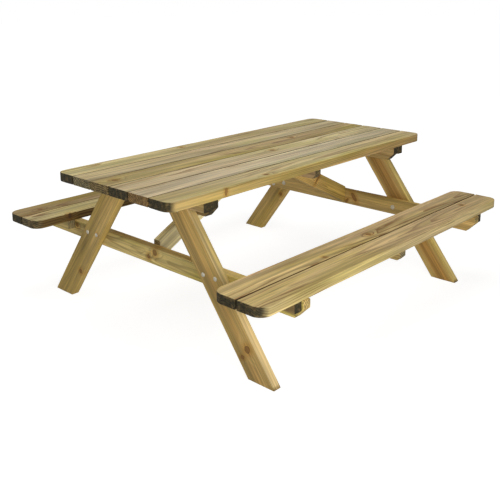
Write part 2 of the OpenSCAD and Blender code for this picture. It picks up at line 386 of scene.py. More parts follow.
def timber_mesh(name, timber, look, seed):
    """A closed mesh of quads with rounded edges, knots, checks and a slightly uneven surface."""
    rng = np.random.default_rng(seed)
    branches = [(*branch(timber, look, knot), knot.radius) for knot in look.knots]
    lines = surface_lines(timber, look, branches)
    cells, quads = block_shell([len(line) for line in lines])
    share = (lines[0][cells[:, 0]] / timber.half[0] + 1) / 2
    row = lines[1][cells[:, 1]]
    z = lines[2][cells[:, 2]]
    start, stop = ends_at(timber.outline, row)
    x = start + share * (stop - start)

    # The grain strays sideways, most at the middle of the timber, and the checks follow it
    calm = (1 - (row / timber.half[1]) ** 2) * (1 - (x / timber.half[0]) ** 6).clip(0, 1)
    y = row + WANDER * calm * waves(rng, x, 0 * x, 0.9, 1.0, 3)

    # A ball of the edges' radius, rolled round a slightly smaller timber, rounds every edge
    core = nearest_inside(np.stack([x, y], 1), inset(timber.outline, EDGE_RADIUS))
    depth = timber.half[2] - EDGE_RADIUS
    outward = np.stack([x - core[:, 0], y - core[:, 1], z - z.clip(-depth, depth)], 1)
    normal = outward / np.linalg.norm(outward, axis=1)[:, None]
    place = np.column_stack([core, z.clip(-depth, depth)]) + EDGE_RADIUS * normal

    lift = WAVINESS * waves(rng, x, y + z, 0.35, 0.11)
    lift += RIDGES * waves(rng, x, y + 1.3 * z, 1.2, 0.016)
    raise_knots(lift, place, branches)
    opening = check_opening(timber, look, x, row, z)
    lift -= CHECK_DEPTH * opening
    shape = place + normal * lift[:, None]
    shape[:, 1] += BOW * rng.choice((-1, 1)) * np.cos(math.pi * x / (2 * timber.half[0]))

    mesh = bpy.data.meshes.new(name)
    mesh.from_pydata(timber.to_shared(shape).tolist(), [], quads.tolist())
    mesh.polygons.foreach_set("use_smooth", np.ones(len(quads), bool))
    add_attribute(mesh, "grain", "FLOAT_VECTOR", "vector", place)
    add_attribute(mesh, "check", "FLOAT", "value", opening)
    # Painted shade: the sides of a gap darken just below the board's face, where little light
    # reaches
    below_top = smooth(timber.half[2] - z, 0.0, GAP_SHADE_DEPTH)
    gap = below_top * facing(normal, look.gaps, 0.2, 0.6)
    add_attribute(mesh, "gap", "FLOAT", "value", gap)
    # The end grain soaks up the dark treatment, and the painted shade on the sides of a gap takes
    # the end grain's colour close to the end
    gap_shade_at_end = gap * smooth(timber.half[0] - np.abs(x), GAP_END_REACH, 0.0)
    end_grain = np.maximum(gap_shade_at_end, smooth(np.abs(normal[:, 0]), 0.05, 0.75))
    add_attribute(mesh, "end_grain", "FLOAT", "value", end_grain)
    # Mask of the narrow faces, which the material brightens or darkens as painted light and shade
    add_attribute(mesh, "narrow_face", "FLOAT", "value", facing(normal, BOTH_SIDES, 0.5, 0.9))
    return mesh


def facing(normal, sides, low, high):
    """1 where the surface faces one of the sides, -1 or 1 across, and 0 elsewhere."""
    return np.max([smooth(side * normal[:, 1], low, high) for side in sides or (0,)], 0)


def add_attribute(mesh, name, kind, field_name, values):
    """Stores one value or vector for each point of a mesh."""
    attribute = mesh.attributes.new(name, kind, "POINT")
    attribute.data.foreach_set(field_name, np.asarray(values, np.float32).ravel())


# ---- materials ----


def linear(colour):
    """An sRGB colour as the linear colour with alpha that shaders take."""
    values = [c / 12.92 if c <= 0.04045 else ((c + 0.055) / 1.055) ** 2.4 for c in colour]
    return (*values, 1.0)


class Graph:
    """A short way to write a shader: most methods add a node and return its output."""

    def __init__(self, name):
        self.material = bpy.data.materials.new(name)
        self.material.use_nodes = True
        self.tree = self.material.node_tree
        self.tree.nodes.clear()

    def add(self, kind, inputs, **settings):
        node = self.tree.nodes.new(kind)
        for key, value in settings.items():
            setattr(node, key, value)
        for key, value in inputs.items():
            if isinstance(value, bpy.types.NodeSocket):
                self.tree.links.new(value, node.inputs[key])
            else:
                node.inputs[key].default_value = value
        return node

    def attribute(self, name, output="Fac"):
        return self.add("ShaderNodeAttribute", {}, attribute_name=name).outputs[output]

    def math(self, operation, a, b=0.0):
        return self.add("ShaderNodeMath", {0: a, 1: b}, operation=operation).outputs[0]

    def times(self, a, b):
        return self.math("MULTIPLY", a, b)

    def plus(self, a, b):
        return self.math("ADD", a, b)

    def vector(self, operation, a, b=(0, 0, 0)):
        node = self.add("ShaderNodeVectorMath", {0: a, 1: b}, operation=operation)
        measure = operation in ("LENGTH", "DOT_PRODUCT")
        return node.outputs["Value" if measure else "Vector"]

    def scaled(self, vector, factor):
        inputs = {0: vector, "Scale": factor}
        return self.add("ShaderNodeVectorMath", inputs, operation="SCALE").outputs[0]

    def noise(self, place, along, across, detail=2.0, output="Fac"):
        """Noise with a given number of bumps to a metre along x and across it."""
        stretched = self.vector("MULTIPLY", place, (along, across, across))
        inputs = {"Vector": stretched, "Scale": 1.0, "Detail": detail}
        return self.add("ShaderNodeTexNoise", inputs).outputs[output]

    def step(self, value, low, high):
        """0 at low and 1 at high, eased; low may be the larger of the two."""
        inputs = {"Value": value, "From Min": low, "From Max": high}
        node = self.add("ShaderNodeMapRange", inputs, interpolation_type="SMOOTHSTEP")
        return node.outputs[0]

    def grey(self, value, low, high):
        """A grey that runs from low to high as a value runs from 0 to 1."""
        inputs = {"Value": value, "To Min": low, "To Max": high}
        return self.add("ShaderNodeMapRange", inputs).outputs[0]

    def mix(self, share, a, b, blend="MIX"):
        """Colour a where the share is 0 and colour b, or a blended with b, where it is 1."""
        inputs = {0: share, 6: a, 7: b}
        node = self.add("ShaderNodeMix", inputs, data_type="RGBA", blend_type=blend)
        return node.outputs[2]

    def finish(self, base, roughness, height, distance, **more):
        """The finished material; its bumps stand as high as the distance times the height."""
        bump = self.add("ShaderNodeBump", {"Height": height, "Distance": distance})
        inputs = {"Base Color": base, "Roughness": roughness, "Normal": bump.outputs[0]}
        inputs.update({key.replace("_", " "): value for key, value in more.items()})
        shader = self.add("ShaderNodeBsdfPrincipled", inputs)
        self.add("ShaderNodeOutputMaterial", {"Surface": shader.outputs[0]})
        return self.material


# The middle of the tree wanders and the rings ripple: bumps to a metre along and across, detail
# and size
STRAYS = ((1.3, 3, 1.0, 30 * MM), (11, 45, 2.0, 3 * MM))
# Broad bands, long streaks and fine fibres: bumps to a metre along and across, darkest, lightest
STREAKS = ((0.8, 18, 0.76, 1.12), (2.0, 60, 0.80, 1.10), (5, 170, 0.82, 1.12))


def pith_distance(g, place, here, look):
    """Distance from the middle of the tree, which drifts and strays along the timber."""
    along = g.add("ShaderNodeSeparateXYZ", {0: place}).outputs[0]
    middle = g.vector("ADD", g.scaled((0, *look.tilt), along), (0, *look.pith))
    from_pith = g.vector("SUBTRACT", place, middle)
    for bumps_along, bumps_across, detail, size in STRAYS:
        cloud = g.noise(here, bumps_along, bumps_across, detail, "Color")
        shift = g.vector("SUBTRACT", cloud, (0.5, 0.5, 0.5))
        from_pith = g.vector("ADD", from_pith, g.scaled(shift, size))
    return g.vector("LENGTH", g.vector("MULTIPLY", from_pith, (0, 1, 1)))


def bend_round_knots(g, place, radius, timber, look):
    """Makes the growth rings flow round every knot.

    Returns the rings' new radius, the distance to the nearest knot in its own radii and how
    dark the knots are nearby.
    """
    nearest = 9.0
    darkness = 0.0
    for knot in look.knots:
        point, direction = branch(timber, look, knot)
        away = g.vector("SUBTRACT", place, tuple(point))
        reach = g.vector("DOT_PRODUCT", away, tuple(direction))
        off = g.vector("SUBTRACT", away, g.scaled(tuple(direction), reach))
        flow = g.vector("LENGTH", g.vector("MULTIPLY", off, (0.4, 1, 1)))
        bulge = g.step(flow, 2.8 * knot.radius, 0.4 * knot.radius)
        radius = g.plus(radius, g.times(bulge, 1.1 * knot.radius))
        distance = g.times(g.vector("LENGTH", off), 1 / knot.radius)
        darkness = g.math("MAXIMUM", darkness, g.times(g.step(distance, 2.6, 1.4), knot.dark))
        nearest = g.math("MINIMUM", nearest, distance)
    return radius, nearest, darkness


def late_wood(g, here, radius, look):
    """0 in early wood and 1 in late wood, which ends sharply where the next ring starts."""
    uneven = g.times(g.noise(here, 1.5, 22, 1.0), 2.4)
    ring = g.math("FRACT", g.plus(g.times(radius, 1 / look.ring), uneven))
    return g.times(g.step(ring, 0.45, 0.90), g.step(ring, 1.0, 0.94))


def clear_wood(g, here, radius, late, look):
    """The colour of the wood away from knots, without its streaks."""
    strength = g.times(g.step(g.noise(here, 1.6, 12), 0.34, 0.62), look.contrast)
    base = g.mix(g.times(late, strength), linear(look.tone), linear(look.line))
    if look.heart_radius > 0:
        heart = g.step(radius, look.heart_radius + 14 * MM, look.heart_radius - 10 * MM)
        base = g.mix(g.times(heart, 0.75), base, linear(look.heart), "MULTIPLY")
    stain = g.step(g.noise(here, 1.4, 9, 3.0), 0.42, 0.62)
    base = g.mix(g.times(stain, look.green), base, linear(GREEN_TINT), "MULTIPLY")
    patch = g.step(g.noise(here, 0.9, 7), 0.62, 0.36)
    return g.mix(g.times(patch, look.blush), base, linear(PINK_HEART))


def knotty_wood(g, here, base, nearest, darkness):
    """Knots with their own rings and a bark line, in wood that is darker with resin."""
    edge = g.plus(nearest, g.times(g.noise(here, 160, 160, 1.0), 0.25))
    rings = g.math("FRACT", g.times(edge, 3.2))
    knot = g.mix(rings, linear(KNOT_BROWN), linear(BROWN_LINE))
    knot = g.mix(darkness, knot, linear(KNOT_BARK))
    resin = g.step(edge, 3.6, 1.1)
    base = g.mix(g.times(resin, 0.6), base, linear(ORANGE_HEART), "MULTIPLY")
    base = g.mix(g.times(g.step(edge, 1.22, 1.04), 0.8), base, knot)
    bark = g.times(g.step(edge, 0.98, 1.12), g.step(edge, 1.34, 1.14))
    return g.mix(g.times(bark, 0.6), base, linear(KNOT_BARK))


def end_wood(g, here, late, mottle, look):
    """Mottled end grain with dark rings and worn patches."""
    end = g.mix(late, linear(look.end), linear(CHECK_SHADE_AND_RING_DARK))
    worn = g.step(g.noise(here, 45, 45, 3.0), 0.46, 0.68)
    end = g.mix(g.times(worn, 0.3), end, linear(END_TAN))
    return g.mix(1.0, end, g.grey(g.step(mottle, 0.34, 0.66), 0.68, 1.38), "MULTIPLY")


def timber_material(name, timber, look, seed):
    """Pine with growth rings round its pith, knots, streaks, checks and dark end grain."""
    g = Graph(name)
    place = g.attribute("grain", "Vector")
    here = g.vector("ADD", place, tuple(seed * step for step in SEED_STEP))
    radius = pith_distance(g, place, here, look)
    radius, nearest, darkness = bend_round_knots(g, place, radius, timber, look)
    late = late_wood(g, here, radius, look)

    base = clear_wood(g, here, radius, late, look)
    for along, across, darkest, lightest in STREAKS:
        streak = g.step(g.noise(here, along, across, 3.0), 0.32, 0.68)
        base = g.mix(1.0, base, g.grey(streak, darkest, lightest), "MULTIPLY")
    # Painted light and shade: the narrow faces are brightened or darkened by the look's side
    # factors
    base = g.mix(g.attribute("narrow_face"), base, (*look.side, 1.0), "MULTIPLY")
    base = knotty_wood(g, here, base, nearest, darkness)

    # Hairline checks beside the modelled ones, with painted shade inside all the checks, then
    # painted shade in the gaps and the end grain
    hair = g.step(g.noise(here, 5, 230, 1.0), 0.68, 0.76)
    where = g.step(g.noise(here, 2, 14, 1.0), 0.48, 0.62)
    split = g.math("MAXIMUM", g.times(g.times(hair, where), 0.55), g.attribute("check"))
    base = g.mix(split, base, linear(CHECK_SHADE_AND_RING_DARK))
    base = g.mix(g.times(g.attribute("gap"), 0.9), base, linear(GAP_SHADE_BROWN))
    mottle = g.noise(here, 60, 60, 4.0)
    end_grain = g.attribute("end_grain")
    base = g.mix(end_grain, base, end_wood(g, here, late, mottle, look))

    # The fine fibres, which are the last of the streaks, also roughen the surface
    roughness = g.plus(0.62, g.times(streak, 0.2))
    height = g.plus(g.times(late, 0.5), g.times(streak, 0.8))
    height = g.plus(height, g.times(g.times(mottle, end_grain), 2.0))
    height = g.math("SUBTRACT", height, g.times(split, 2.0))
    return g.finish(base, roughness, height, GRAIN_RELIEF, Specular_IOR_Level=0.3)


def metal_material(name, colour, dull, roughness):
    """Zinc with a mottled, crystalline skin and dull patches."""
    g = Graph(name)
    place = g.attribute("grain", "Vector")
    crystals = g.add("ShaderNodeTexVoronoi", {"Vector": place, "Scale": 420.0})
    facet = g.add("ShaderNodeSeparateColor", {0: crystals.outputs["Color"]}).outputs[0]
    cloud = g.noise(place, 150, 150, 3.0)
    base = g.mix(g.times(facet, 0.5), linear(colour), linear(dull))
    base = g.mix(g.step(cloud, 0.45, 0.75), base, linear(dull))
    rough = g.plus(roughness, g.times(cloud, 0.25))
    return g.finish(base, rough, g.plus(facet, cloud), ZINC_RELIEF, Metallic=0.75)


# ---- fasteners ----

# Thickness of the two timbers that a bolt holds together
GRIP = round(face("left_seat_rail", HIGH, X) - face("left_front_leg", LOW, X), 4)
BOLT_SIZE = 8 * MM
BOLT_RADIUS = BOLT_SIZE / 2
BOLT_PITCH = 1.25 * MM
HEAD_RADIUS = 1.2 * BOLT_SIZE
HEAD_HEIGHT = 0.55 * BOLT_SIZE
NECK_HEIGHT = 0.6 * BOLT_SIZE
WASHER_THICKNESS = 0.25 * BOLT_SIZE
WASHER_RADIUS = 1.5 * BOLT_SIZE
NUT_FLATS = 1.7 * BOLT_SIZE
NUT_HEIGHT = 0.84 * BOLT_SIZE
NUT_CHAMFER = math.radians(30)
THREAD_DEPTH = 0.55   # in pitches
STEPS_A_PITCH = 6
# How much further each fastener is turned than the one before, in radians
BOLT_TURN = 0.3
NUT_TURN = 0.7
SCREW_TURN = 0.9


def polar_ring(radius, height, turns):
    """A ring of points round z; its radius and height are numbers or functions of the angle."""
    angles = np.arange(turns) * math.tau / turns
    radii = radius(angles) if callable(radius) else radius
    heights = height(angles) if callable(height) else np.full(turns, height)
    return np.column_stack([radii * np.cos(angles), radii * np.sin(angles), heights])


def loft(rings):
    """Joins rings of points into a closed skin, with the first and last rings capped."""
    turns = len(rings[0])
    points = np.concatenate(rings)
    step = np.arange(turns)
    after = (step + 1) % turns
    faces = []
    for i in range(len(rings) - 1):
        low, high = i * turns, (i + 1) * turns
        faces += np.stack([low + step, low + after, high + after, high + step], 1).tolist()
    faces.append(step[::-1].tolist())
    faces.append((step + turns * (len(rings) - 1)).tolist())
    return points, faces


def hoop(rings):
    """Joins rings of points into a skin round a hole, with the last ring joined to the first."""
    kept = len(rings) * len(rings[0])
    points, faces = loft(rings + rings[:1])
    return points[:kept], [[i % kept for i in face] for face in faces[:-2]]


def ridge(phase):
    """1 at the crest of a thread and 0 at its root, as the phase goes up by 1 a pitch."""
    return 1 - np.abs(2 * (phase % 1.0) - 1)


def thread_rings(radius, pitch, start, stop, turns):
    """Rings of a screw thread, whose crests fade out at its stop."""
    depth = THREAD_DEPTH * pitch
    rings = []
    for height in np.arange(start, stop, pitch / STEPS_A_PITCH):
        fade = min(1.0, (stop - height) / pitch)
        rings.append(polar_ring(
            lambda a: radius - depth * (1 - fade * ridge(height / pitch - a / math.tau)),
            height, turns))
    return rings


def join(parts):
    """One list of points and faces from several."""
    points, faces, count = [], [], 0
    for part_points, part_faces in parts:
        points.append(part_points)
        faces += [[count + i for i in face] for face in part_faces]
        count += len(part_points)
    return np.concatenate(points), faces


def seats(node, count):
    """Where each of a node's equal fasteners has its head, which way it points and how far."""
    for part in np.split(node_points(node), count):
        low, high = part.min(0), part.max(0)
        middle = (low + high) / 2
        axis = int(np.argmax(high - low))
        beside = np.delete(part - middle, axis, 1)
        rim = part[np.argmax((beside ** 2).sum(1)), axis]
        direction = np.zeros(3)
        direction[axis] = np.sign(middle[axis] - rim)
        middle[axis] = rim
        yield middle, direction, max(abs(low[axis] - rim), abs(high[axis] - rim))


def placed(part, seat, direction, turn_angle):
    """A part drawn along z, turned round z and put at a seat with z along a direction."""
    points, faces = part
    rotation = Vector((0, 0, 1)).rotation_difference(Vector(direction)).to_matrix()
    spin = Matrix.Rotation(turn_angle, 3, "Z")
    return points @ np.array(rotation @ spin).T + seat, faces


def bolt_part(length):
    """A carriage bolt: a cup head, a square neck, a shank and a threaded end."""
    turns = 32
    neck_corner = 1.25 * BOLT_RADIUS

    def square(angles):
        flat = BOLT_RADIUS / np.maximum(abs(np.cos(angles)), abs(np.sin(angles)))
        return np.minimum(flat, neck_corner)

    rings = [polar_ring(0.4 * MM, -HEAD_HEIGHT, turns)]
    for degrees in range(9, 90, 9):
        angle = math.radians(degrees)
        rings.append(polar_ring(
            HEAD_RADIUS * math.sin(angle), -HEAD_HEIGHT * math.cos(angle), turns))
    rings += [
        polar_ring(HEAD_RADIUS, -0.7 * MM, turns),
        polar_ring(HEAD_RADIUS, -0.1 * MM, turns),
        polar_ring(0.97 * HEAD_RADIUS, 0.0, turns),
        polar_ring(square, 0.0, turns),
        polar_ring(square, NECK_HEIGHT, turns),
        polar_ring(BOLT_RADIUS, 1.3 * NECK_HEIGHT, turns),
        polar_ring(BOLT_RADIUS, 0.6 * GRIP, turns),
    ]
    rings += thread_rings(BOLT_RADIUS, BOLT_PITCH, 0.93 * GRIP, length - 1.2 * MM, turns)
    rings.append(polar_ring(0.8 * BOLT_RADIUS, length, turns))
    return loft(rings)


def washer_part():
    """A flat washer with its outer edges rounded."""
    turns = 40
    soft = 0.4 * MM
    hole = BOLT_RADIUS + 0.3 * MM
    top = WASHER_THICKNESS
    return hoop([
        polar_ring(hole, 0.0, turns),
        polar_ring(WASHER_RADIUS - soft, 0.0, turns),
        polar_ring(WASHER_RADIUS, soft, turns),
        polar_ring(WASHER_RADIUS, top - soft, turns),
        polar_ring(WASHER_RADIUS - soft, top, turns),
        polar_ring(hole, top, turns),
    ])


def nut_part():
    """A hexagon nut with its corners chamfered on both faces."""
    turns = 48
    half_flats = NUT_FLATS / 2
    face = 0.96 * half_flats
    hole = BOLT_RADIUS - 0.5 * MM
    lead_in = 0.8 * MM

    def hexagon(angles):
        from_flat = (angles + math.pi / 6) % (math.pi / 3) - math.pi / 6
        return half_flats / np.cos(from_flat)

    def dip(angles):
        return (hexagon(angles) - face) * math.tan(NUT_CHAMFER)

    return hoop([
        polar_ring(hole, 0.0, turns),
        polar_ring(face, 0.0, turns),
        polar_ring(hexagon, dip, turns),
        polar_ring(hexagon, lambda angles: NUT_HEIGHT - dip(angles), turns),
        polar_ring(face, NUT_HEIGHT, turns),
        polar_ring(hole + lead_in, NUT_HEIGHT, turns),
        polar_ring(hole, NUT_HEIGHT - lead_in, turns),
    ])


def screw_part(radius, length):
    """A countersunk wood screw with a star recess in its head."""
    turns = 36
    head = 2 * radius
    proud = 0.3 * MM

    def star(angles):
        return 1.2 * radius * (1 + 0.16 * np.cos(6 * angles))

    rings = [
        polar_ring(lambda angles: 0.7 * star(angles), 1.6 * MM, turns),
        polar_ring(star, 0.2 * MM, turns),
        polar_ring(star, -proud, turns),
        polar_ring(head - 0.5 * MM, -proud, turns),
        polar_ring(head, 0.3 * MM, turns),
        polar_ring(radius, radius + 0.3 * MM, turns),
    ]
    # A wood screw's thread is coarse, so every third ring is enough
    rings += thread_rings(radius, 1.2 * radius, 0.4 * length, length - 3 * radius, turns)[::3]
    rings.append(polar_ring(0.15 * radius, length, turns))
    return loft(rings)


# ---- putting pieces in the scene ----


def add_piece(name, mesh, material, node):
    """Puts a finished mesh in the scene in place of its CAD node."""
    piece = bpy.data.objects.new(name, mesh)
    bpy.context.scene.collection.objects.link(piece)
    piece.data.materials.append(material)
    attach(piece, "root")
    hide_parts(node)
    return piece


def add_timber(node, thin, look, seed):
    """A timber in place of its node, shaded so that its faces stay flat up to the edges."""
    timber = Timber(node, thin)
    name = node + "_wood"
    mesh = timber_mesh(name, timber, look, seed)
    piece = add_piece(name, mesh, timber_material(name, timber, look, seed), node)
    piece.modifiers.new("flat_faces", "WEIGHTED_NORMAL").weight = 60


def add_fasteners(node, parts, material, smooth_angle=35):
    """Fasteners in place of their node, with an edge wherever they bend by more than the angle."""
    points, faces = join(parts)
    mesh = bpy.data.meshes.new(node + "_steel")
    mesh.from_pydata(points.tolist(), [], faces)
    add_attribute(mesh, "grain", "FLOAT_VECTOR", "vector", points)
    mesh.polygons.foreach_set("use_smooth", np.ones(len(faces), bool))
    mesh.set_sharp_from_angle(angle=math.radians(smooth_angle))
    add_piece(node + "_steel", mesh, material, node)


TABLE_TOP = face("tabletop_board_1", HIGH, Z)
TABLE_FRONT = face("tabletop_board_1", LOW, Y)
LEFT_END = face("tabletop_board_1", LOW, X)
RIGHT_END = face("tabletop_board_1", HIGH, X)
SEAT_TOP = face("front_bench_outer_board", HIGH, Z)
REAR_SEAT_FRONT = face("rear_bench_inner_board", LOW, Y)
LEFT_LEG_FACE = face("left_front_leg", LOW, X)
LEFT_RAIL_FACE = face("left_seat_rail", LOW, X)
RIGHT_LEG_FACE = face("right_rear_leg", LOW, X)
RIGHT_RAIL_FACE = face("right_seat_rail", LOW, X)
BRACE_FRONT = face("right_brace", LOW, Y)


def top_check(across_mm, start, stop):
    """A check in a board's upper face, at so many millimetres from the face's middle line."""
    return Check(1, across_mm * MM, start, stop)


def left_check(across_mm, start, stop):
    """A check in the left face of a leg or rail, placed in the same way."""
    return Check(-1, across_mm * MM, start, stop)


# In the looks below, the side factors brighten or darken the narrow faces as painted light and
# shade
TOP_LOOKS = {
    "tabletop_board_1": Look(
        tone=TAN, pith=(-20 * MM, -75 * MM), tilt=(0.01, 0.016), green=0.7, end=END_BLACK,
        gaps=(1,), side=(0.84, 0.74, 0.58),
        knots=[Knot((-0.60, TABLE_FRONT, TABLE_TOP - 14 * MM), 7 * MM, 0.0),
               Knot((-0.33, -0.35, TABLE_TOP), 8 * MM)],
        checks=[top_check(24, LEFT_END, -0.72), top_check(-30, RIGHT_END, 0.74)]),
    "tabletop_board_2": Look(
        tone=CREAM, pith=(70 * MM, -40 * MM), green=0.3, end=END_RED, gaps=BOTH_SIDES,
        checks=[top_check(-12, LEFT_END, -0.78)]),
    "tabletop_board_3": Look(
        tone=STRAW, contrast=0.9, pith=(10 * MM, -95 * MM), tilt=(-0.01, 0.010), end=END_BLACK,
        gaps=BOTH_SIDES,
        knots=[Knot((0.05, -0.05, TABLE_TOP), 10 * MM)],
        checks=[top_check(30, LEFT_END, -0.70)]),
    "tabletop_board_4": Look(
        tone=OLIVE, contrast=1.0, pith=(-5 * MM, -60 * MM), tilt=(0.01, 0.018), green=0.7,
        gaps=BOTH_SIDES,
        knots=[Knot((-0.82, 0.06, TABLE_TOP), 12 * MM), Knot((0.35, 0.08, TABLE_TOP), 9 * MM)],
        checks=[top_check(-22, RIGHT_END, 0.66)]),
    "tabletop_board_5": Look(
        tone=STRAW, contrast=0.9, pith=(-55 * MM, -50 * MM), end=END_OLIVE, gaps=BOTH_SIDES,
        checks=[top_check(8, LEFT_END, -0.80)]),
    "tabletop_board_6": Look(
        tone=TAN, pith=(30 * MM, -70 * MM), tilt=(0.0, -0.014), end=END_BLACK, gaps=(-1,),
        knots=[Knot((-0.20, 0.34, TABLE_TOP), 8 * MM)]),
}
BENCH_LOOKS = {
    "front_bench_outer_board": Look(
        tone=WHEAT, contrast=1.0, pith=(5 * MM, -65 * MM), tilt=(0.006, 0.02), end=END_BLACK,
        gaps=(1,), side=(1.05, 1.10, 1.10),
        knots=[Knot((0.67, -0.757, SEAT_TOP), 8 * MM)],
        checks=[top_check(-10, -0.42, -0.18), top_check(18, LEFT_END, -0.66)]),
    "front_bench_inner_board": Look(
        tone=WHEAT, contrast=1.0, pith=(-10 * MM, -80 * MM), tilt=(-0.008, 0.018), blush=0.5,
        end=END_BLACK, gaps=(-1,),
        knots=[Knot((-0.008, -0.663, SEAT_TOP), 11 * MM), Knot((-0.36, -0.69, SEAT_TOP), 7 * MM)],
        checks=[top_check(-18, LEFT_END, -0.72), top_check(22, 0.30, 0.62)]),
    # Its narrow faces are darkened strongly: partly the board's own dark stain, partly painted
    # shade under the table top
    "rear_bench_inner_board": Look(
        tone=TAN, contrast=1.1, pith=(20 * MM, -60 * MM), end=END_MOSS, gaps=(1,),
        side=(0.24, 0.18, 0.10),
        knots=[Knot((-0.71, REAR_SEAT_FRONT, SEAT_TOP - 10 * MM), 9 * MM, 1.0)],
        checks=[top_check(20, LEFT_END, -0.75)]),
    "rear_bench_outer_board": Look(
        tone=KHAKI, contrast=1.1, pith=(-25 * MM, -70 * MM), green=0.7, end=END_BLACK, gaps=(-1,),
        knots=[Knot((-0.77, 0.76, SEAT_TOP), 9 * MM)],
        checks=[top_check(-20, RIGHT_END, 0.70)]),
}
FRAME_LOOKS = {
    "left_front_leg": Look(
        tone=HONEY, line=OLIVE_LINE, contrast=0.45, pith=(5 * MM, 18 * MM), tilt=(0.01, 0.01),
        heart=ORANGE_HEART, heart_radius=34 * MM, blush=0.1, end=END_TAN, side=(1.10, 1.22, 1.75),
        knots=[Knot((LEFT_LEG_FACE, -0.60, 0.125), 13 * MM),
               Knot((LEFT_LEG_FACE, -0.575, 0.085), 7 * MM)],
        checks=[left_check(12, -0.10, 0.12)]),
    "left_rear_leg": Look(
        tone=AMBER, line=OLIVE_LINE, contrast=0.35, pith=(25 * MM, 60 * MM), tilt=(0.02, 0.03),
        blush=0.1, end=END_TAN, side=(1.15, 1.15, 1.0),
        knots=[Knot((LEFT_LEG_FACE, 0.511, 0.150), 10 * MM),
               Knot((LEFT_LEG_FACE, 0.356, 0.372), 6 * MM)]),
    "right_front_leg": Look(
        tone=AMBER, line=OLIVE_LINE, contrast=0.35, pith=(0.0, -15 * MM), heart=ORANGE_HEART,
        heart_radius=28 * MM, blush=0.1, end=END_TAN, side=(1.5, 1.65, 1.9)),
    "right_rear_leg": Look(
        tone=AMBER, line=OLIVE_LINE, contrast=0.35, pith=(30 * MM, 50 * MM), blush=0.1, end=END_TAN,
        side=(1.2, 1.2, 1.2),
        knots=[Knot((RIGHT_LEG_FACE, 0.44, 0.255), 9 * MM)]),
    # Painted shadow: this bearer's tone and end grain are darkened, as it sits in shade under the
    # table top
    "left_top_bearer": Look(
        tone=PAINTED_SHADE_TONE, line=OLIVE_LINE, pith=(-20 * MM, 55 * MM), blush=0.1, end=END_BLACK,
        knots=[Knot((LEFT_RAIL_FACE, -0.12, 0.62), 9 * MM)]),
    "right_top_bearer": Look(
        tone=KHAKI, line=OLIVE_LINE, pith=(15 * MM, 45 * MM), blush=0.1, end=END_BLACK),
    "left_seat_rail": Look(
        tone=GOLD, line=OLIVE_LINE, contrast=0.5, pith=(12 * MM, 60 * MM), tilt=(0.02, 0.02),
        green=0.8, blush=0.1, end=END_GOLD, side=(0.95, 0.90, 0.95),
        knots=[Knot((LEFT_RAIL_FACE, -0.012, 0.365), 13 * MM),
               Knot((LEFT_RAIL_FACE, 0.03, 0.338), 9 * MM),
               Knot((LEFT_RAIL_FACE, 0.578, 0.362), 10 * MM)]),
    "right_seat_rail": Look(
        tone=AMBER, line=OLIVE_LINE, contrast=0.5, pith=(-8 * MM, -12 * MM), blush=0.1,
        end=END_GOLD, side=(1.1, 1.1, 1.1),
        knots=[Knot((RIGHT_RAIL_FACE, -0.13, 0.353), 10 * MM),
               Knot((RIGHT_RAIL_FACE, -0.083, 0.326), 6 * MM)],
        checks=[left_check(2, -0.42, -0.20)]),
}
CLEAT_LOOKS = {
    "left_top_cleat": Look(tone=KHAKI, line=OLIVE_LINE, pith=(0.0, 15 * MM), end=END_BLACK),
    # Painted shadow: the middle cleat's tone and end grain are darkened, as it sits in shade under
    # the table top
    "middle_top_cleat": Look(tone=PAINTED_SHADE_TONE, line=OLIVE_LINE, pith=(9 * MM, 8 * MM), end=END_MOSS),
    "right_top_cleat": Look(tone=OLIVE, line=OLIVE_LINE, pith=(-9 * MM, 30 * MM), end=END_BLACK),
    # Painted shadow: this cleat's tone and end grain are darkened, as it sits in shade under the
    # front bench
    "front_bench_left_cleat": Look(tone=PAINTED_SHADE_TONE, line=OLIVE_LINE, blush=0.1, end=END_BLACK),
    "front_bench_middle_cleat": Look(tone=WHEAT, pith=(30 * MM, 20 * MM), end=END_OLIVE),
    "front_bench_right_cleat": Look(tone=OLIVE, line=OLIVE_LINE, end=END_BLACK),
    "rear_bench_left_cleat": Look(tone=OLIVE, line=OLIVE_LINE, end=END_OLIVE),
    "rear_bench_middle_cleat": Look(tone=TAN, pith=(20 * MM, -30 * MM), end=END_TAN),
    "rear_bench_right_cleat": Look(tone=OLIVE, line=OLIVE_LINE),
}
BRACE_LOOKS = {
    # Painted light: the left brace's tone is raised and its rings, stains and pink patches almost
    # taken out, so that it reads as brightly lit
    "left_brace": Look(tone=PAINTED_LIGHT_TONE, contrast=0.1, pith=(60 * MM, 20 * MM), green=0.0, blush=0.0),
    "right_brace": Look(
        tone=HONEY, line=OLIVE_LINE, pith=(10 * MM, -15 * MM), blush=0.1,
        knots=[Knot((0.40, BRACE_FRONT, 0.51), 6 * MM)]),
}

# The looks of some timbers, and the axis that runs through their thickness
TIMBERS = (
    (TOP_LOOKS, Z), (BENCH_LOOKS, Z), (FRAME_LOOKS, X), (CLEAT_LOOKS, X), (BRACE_LOOKS, Y),
)

seed = 1
for looks, thin in TIMBERS:
    for node, look in looks.items():
        add_timber(node, thin, look, seed)
        seed += 1

galvanised = metal_material("galvanised_steel", ZINC, ZINC_DULL, 0.38)
zinc_yellow = metal_material("yellow_zinc", YELLOW_ZINC, YELLOW_ZINC_DULL, 0.32)

